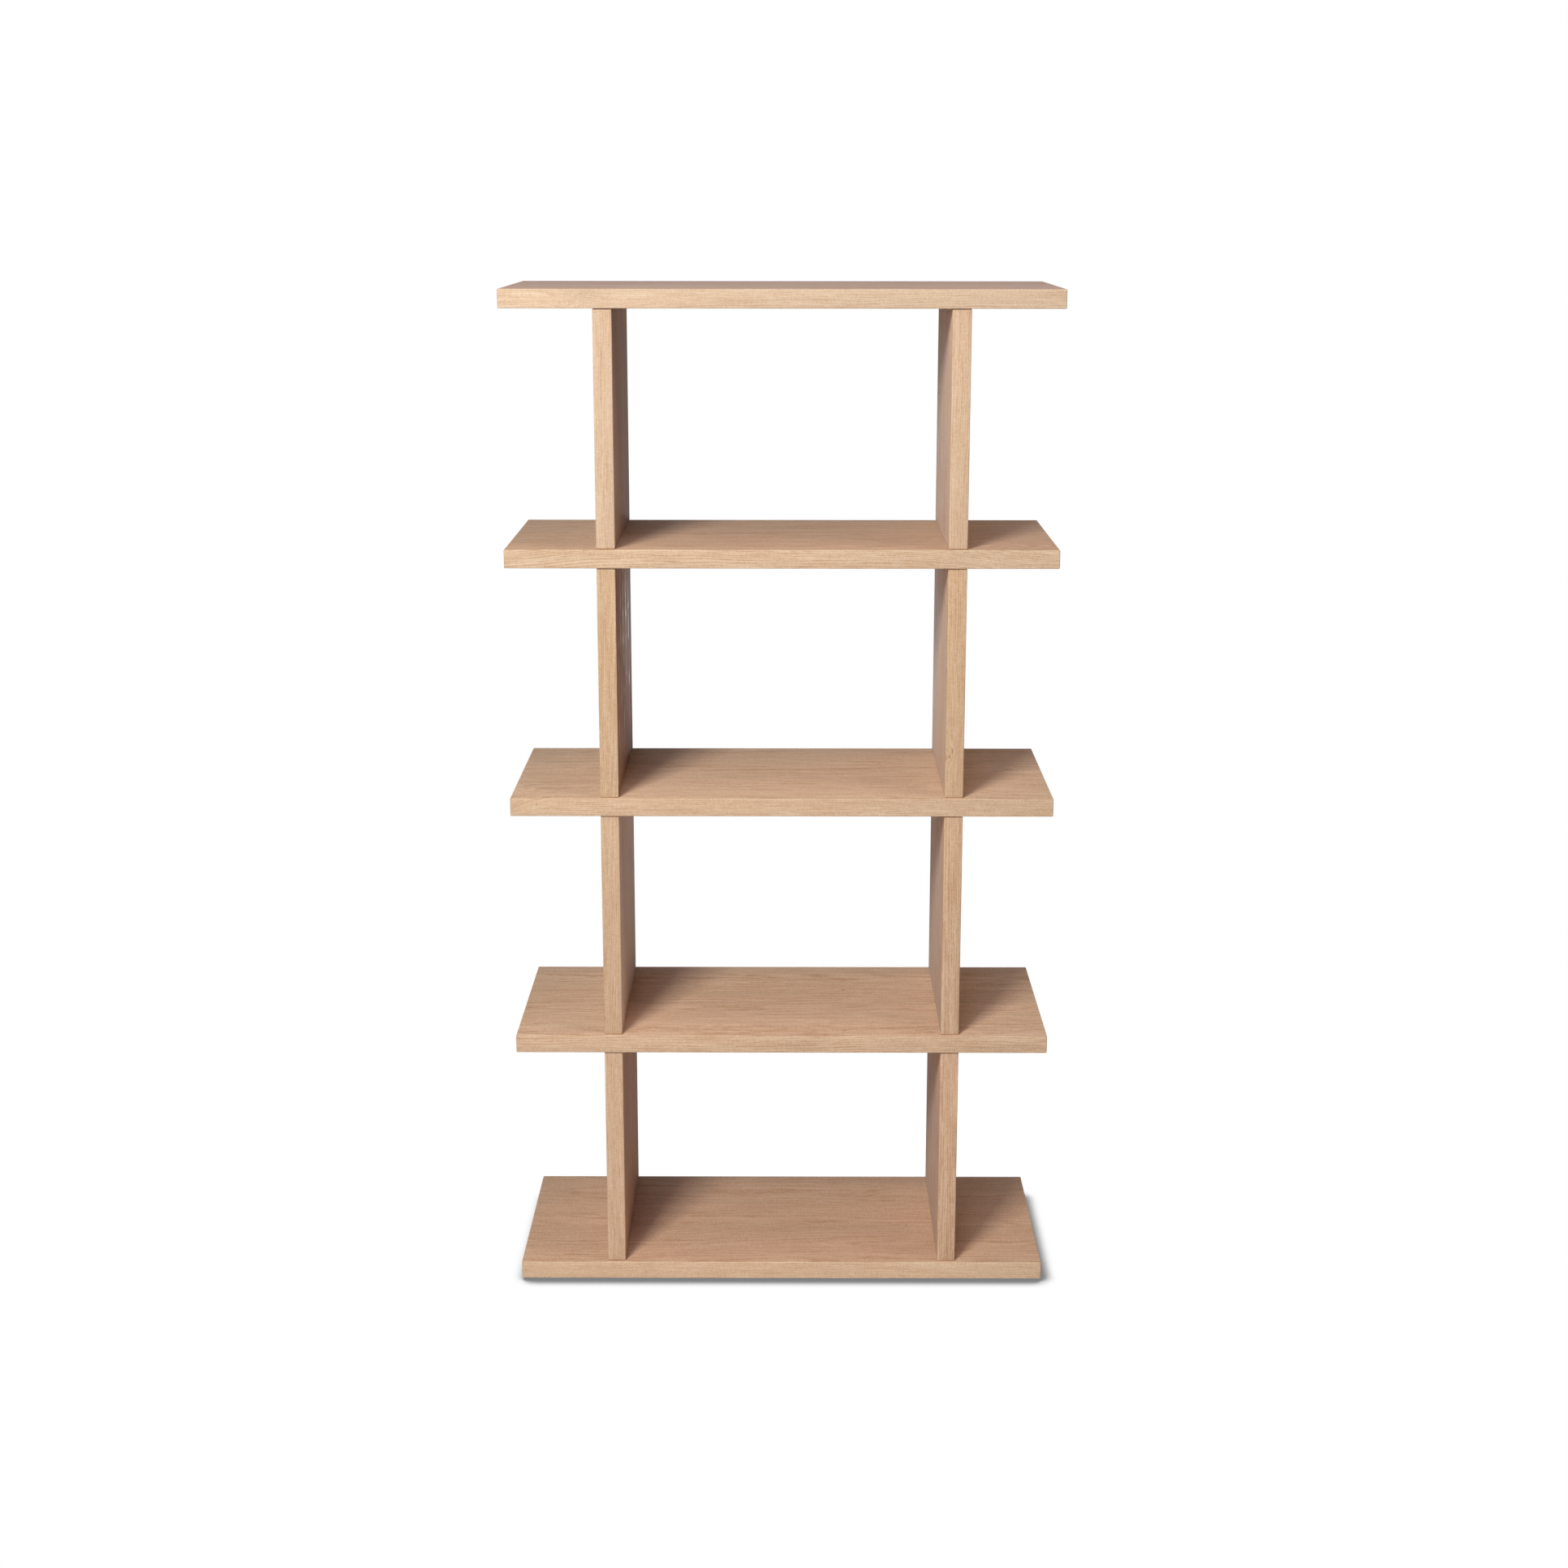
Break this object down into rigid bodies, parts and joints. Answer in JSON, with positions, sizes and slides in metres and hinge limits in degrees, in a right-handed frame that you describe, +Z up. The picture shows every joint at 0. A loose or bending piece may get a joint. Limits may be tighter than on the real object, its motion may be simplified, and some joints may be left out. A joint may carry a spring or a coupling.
{
  "type": "open bookcase",
  "caption": "Tall open bookcase of thick oak boards: wide shelves on short inset uprights, open at the back and sides, tied by hidden rods, for books and display.",
  "frame": {"origin": "on the floor, under the middle of the bookcase: the bottom centre of its bounding box", "axes": "+Z up, the front faces -Y, +X to the right of someone who looks at the front"},
  "size_m": [0.94, 0.4, 1.7653],
  "materials": {
    "shelf_oak": "pale natural oak veneer with matching eased edges, matt clear oil, grain along the length",
    "upright_oak": "pale natural oak veneer with matching eased edges, matt clear oil, grain upright",
    "rod_zinc": "bright zinc-plated steel rod",
    "nut_steel": "turned steel, zinc-plated",
    "insert_brass": "turned brass, unpolished",
    "glide_nylon": "dark brown moulded nylon, matt"
  },
  "bodies": {
    "root": {"base_shelf": "shelf_oak", "lower_shelf": "shelf_oak", "middle_shelf": "shelf_oak", "upper_shelf": "shelf_oak", "top_shelf": "shelf_oak", "left_upright_tier_1": "upright_oak", "left_upright_tier_2": "upright_oak", "left_upright_tier_3": "upright_oak", "left_upright_tier_4": "upright_oak", "right_upright_tier_1": "upright_oak", "right_upright_tier_2": "upright_oak", "right_upright_tier_3": "upright_oak", "right_upright_tier_4": "upright_oak", "tie_rod_left_front_tier_1": "rod_zinc", "tie_rod_left_back_tier_1": "rod_zinc", "tie_rod_right_front_tier_1": "rod_zinc", "tie_rod_right_back_tier_1": "rod_zinc", "tie_rod_left_front_tier_2": "rod_zinc", "tie_rod_left_back_tier_2": "rod_zinc", "tie_rod_right_front_tier_2": "rod_zinc", "tie_rod_right_back_tier_2": "rod_zinc", "tie_rod_left_front_tier_3": "rod_zinc", "tie_rod_left_back_tier_3": "rod_zinc", "tie_rod_right_front_tier_3": "rod_zinc", "tie_rod_right_back_tier_3": "rod_zinc", "tie_rod_left_front_tier_4": "rod_zinc", "tie_rod_left_back_tier_4": "rod_zinc", "tie_rod_right_front_tier_4": "rod_zinc", "tie_rod_right_back_tier_4": "rod_zinc", "base_shelf_nut_left_front": "nut_steel", "base_shelf_nut_left_back": "nut_steel", "base_shelf_nut_right_front": "nut_steel", "base_shelf_nut_right_back": "nut_steel", "lower_shelf_nut_left_front": "nut_steel", "lower_shelf_nut_left_back": "nut_steel", "lower_shelf_nut_right_front": "nut_steel", "lower_shelf_nut_right_back": "nut_steel", "middle_shelf_nut_left_front": "nut_steel", "middle_shelf_nut_left_back": "nut_steel", "middle_shelf_nut_right_front": "nut_steel", "middle_shelf_nut_right_back": "nut_steel", "upper_shelf_nut_left_front": "nut_steel", "upper_shelf_nut_left_back": "nut_steel", "upper_shelf_nut_right_front": "nut_steel", "upper_shelf_nut_right_back": "nut_steel", "top_shelf_insert_left_front": "insert_brass", "top_shelf_insert_left_back": "insert_brass", "top_shelf_insert_right_front": "insert_brass", "top_shelf_insert_right_back": "insert_brass", "glide_left_front": "glide_nylon", "glide_left_back": "glide_nylon", "glide_right_front": "glide_nylon", "glide_right_back": "glide_nylon"}
  },
  "joints": []
}
